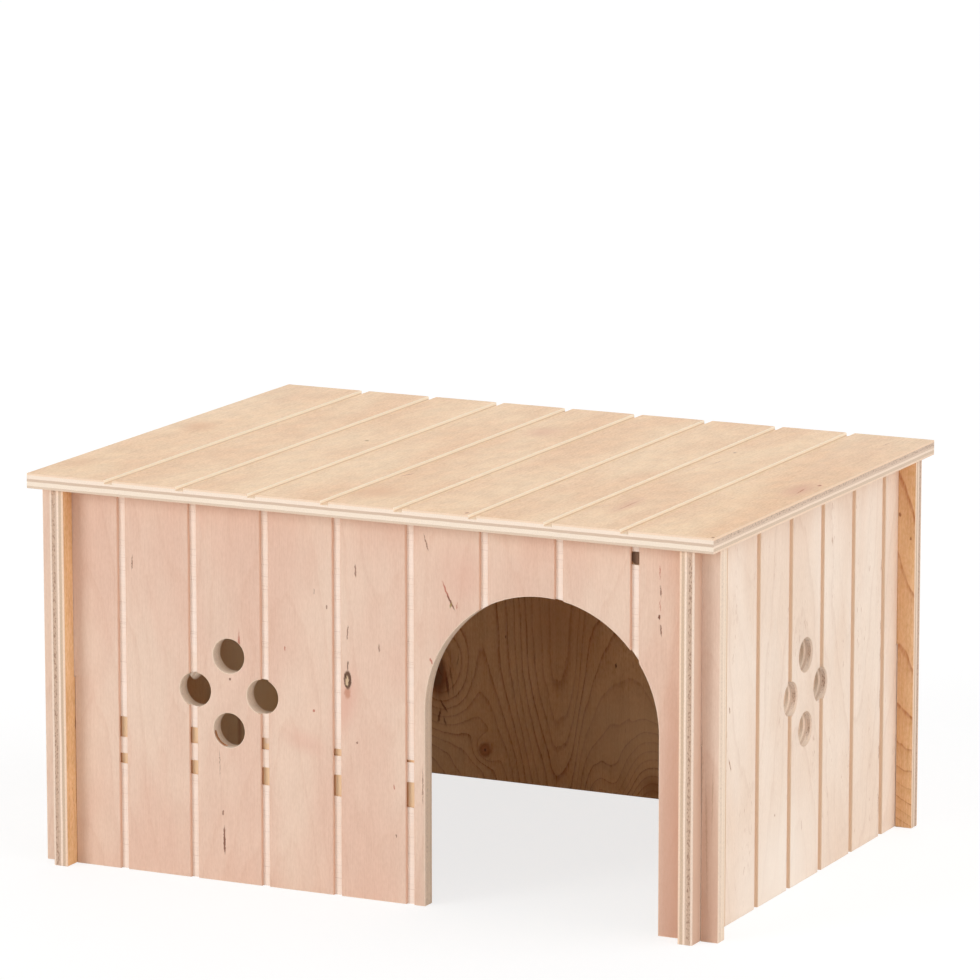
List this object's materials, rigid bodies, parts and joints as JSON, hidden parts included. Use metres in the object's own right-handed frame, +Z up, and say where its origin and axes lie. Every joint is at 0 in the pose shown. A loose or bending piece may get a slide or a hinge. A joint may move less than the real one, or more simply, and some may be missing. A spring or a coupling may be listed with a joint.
{
  "type": "small animal house",
  "caption": "Flat-pack plywood house for a small pet: slotted plank-look walls, an arched doorway, round vent holes and a loose roof that lifts off.",
  "frame": {"origin": "on the floor under the middle of the roof and of the four walls", "axes": "+X to the right as seen from the side with the doorway, +Y to the back, +Z up"},
  "size_m": [0.436, 0.327, 0.2343],
  "materials": {
    "plywood": "bare, sanded",
    "softwood": "bare, sawn"
  },
  "bodies": {
    "walls": {"left_side_panel": "plywood", "right_side_panel": "plywood", "back_panel": "plywood"},
    "front": {"front_panel": "plywood"},
    "roof": {"roof_panel": "plywood", "left_batten": "softwood", "right_batten": "softwood"}
  },
  "joints": [
    {"name": "front_lift", "type": "slide", "parent": "walls", "child": "front", "axis": [0, 0, 1], "range_m": [0, 0.1026]},
    {"name": "roof_lift_off", "type": "hinge", "parent": "front", "child": "roof", "pos_m": [0, -0.274, 0.2253], "axis": [0.9781, 0.2079, 0], "range_deg": [0, 13.7]}
  ]
}
